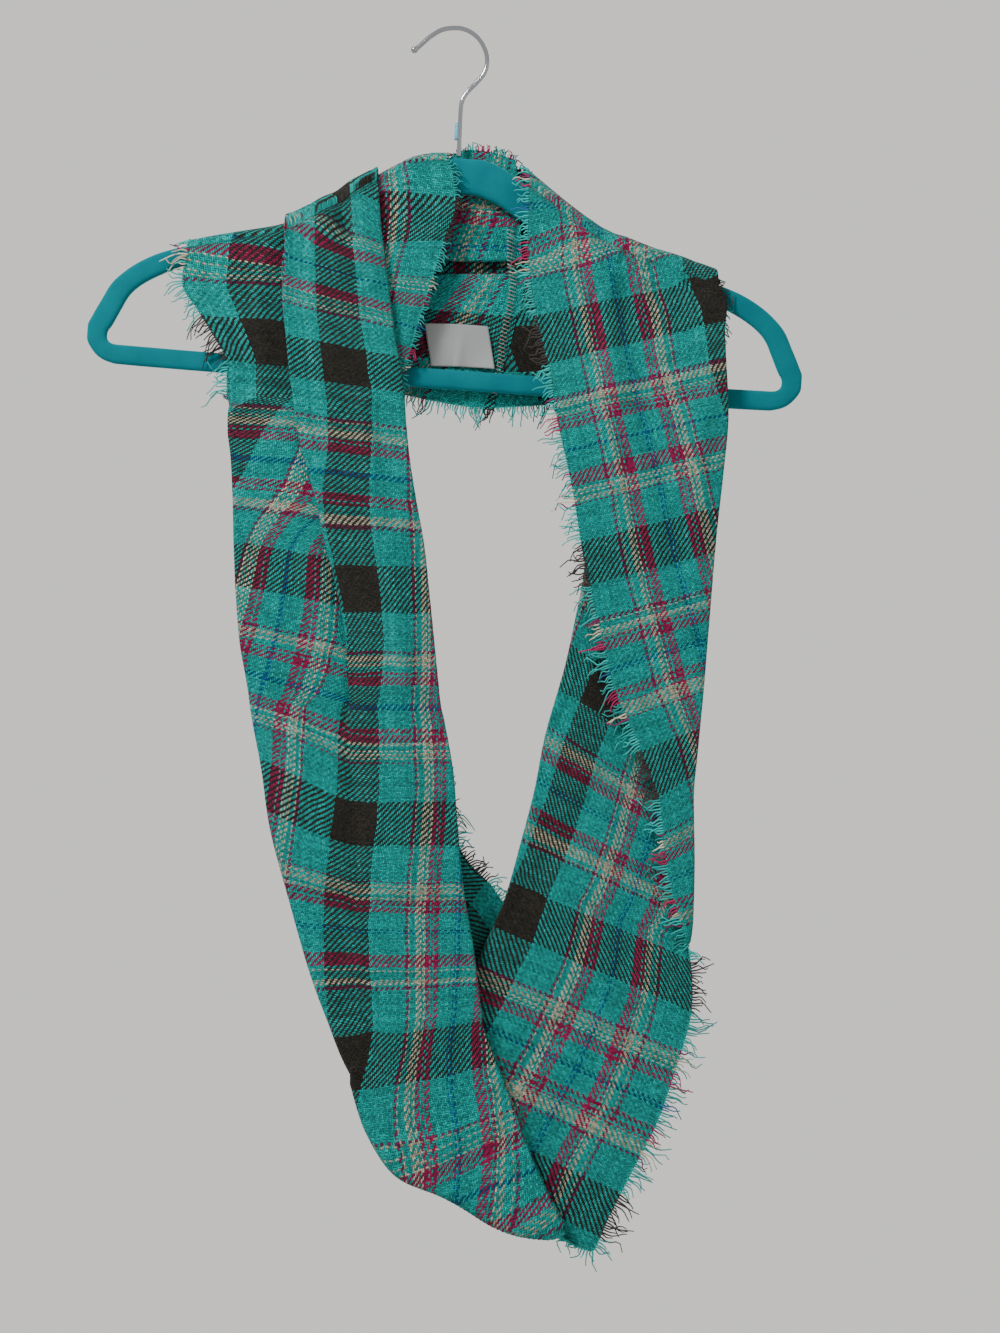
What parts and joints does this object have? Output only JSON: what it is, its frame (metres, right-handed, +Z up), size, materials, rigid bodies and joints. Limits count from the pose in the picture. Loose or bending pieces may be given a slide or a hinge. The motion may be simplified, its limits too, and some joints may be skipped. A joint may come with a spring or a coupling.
{
  "type": "infinity scarf on a hanger",
  "caption": "Looped plaid scarf with frayed edges, draped over a flocked hanger with a wire hook; both legs hang down and cross in a fold at the bottom.",
  "frame": {"origin": "inner top of the hook, where it bears on a rail", "axes": "+X to the right seen from the front, -Y out of the front, +Z up; the hanger hangs 4.1 degrees lower on the right as loaded"},
  "size_m": [0.4473, 0.0331, 0.7754],
  "materials": {
    "twill": "brushed 2/2 twill woven in a plaid of teal, dark brown, cream, magenta and blue",
    "yarn": "loose yarn ends of the same cloth",
    "seam_thread": "overlock stitching",
    "label_satin": "bare white satin tape",
    "teal_flock": "velvet flock over moulded plastic",
    "chrome": "polished wire"
  },
  "bodies": {
    "root": {"back_neck_left": "twill", "back_neck_right": "twill", "left_shoulder": "twill", "left_leg": "twill", "bottom_turn": "twill", "base_panel": "twill", "right_leg": "twill", "right_shoulder": "twill", "fringe_in_back_left": "yarn", "fringe_in_back_right": "yarn", "fringe_in_base": "yarn", "fringe_in_bottom": "yarn", "fringe_in_left_leg": "yarn", "fringe_in_left_shoulder": "yarn", "fringe_in_right_leg": "yarn", "fringe_in_right_shoulder": "yarn", "fringe_out_back_left": "yarn", "fringe_out_back_right": "yarn", "fringe_out_base": "yarn", "fringe_out_bottom": "yarn", "fringe_out_left_leg": "yarn", "fringe_out_left_shoulder": "yarn", "fringe_out_right_leg": "yarn", "fringe_out_right_shoulder": "yarn", "hanger_frame": "teal_flock", "hook": "chrome", "overlock_seam": "seam_thread", "care_label": "label_satin"}
  },
  "joints": []
}
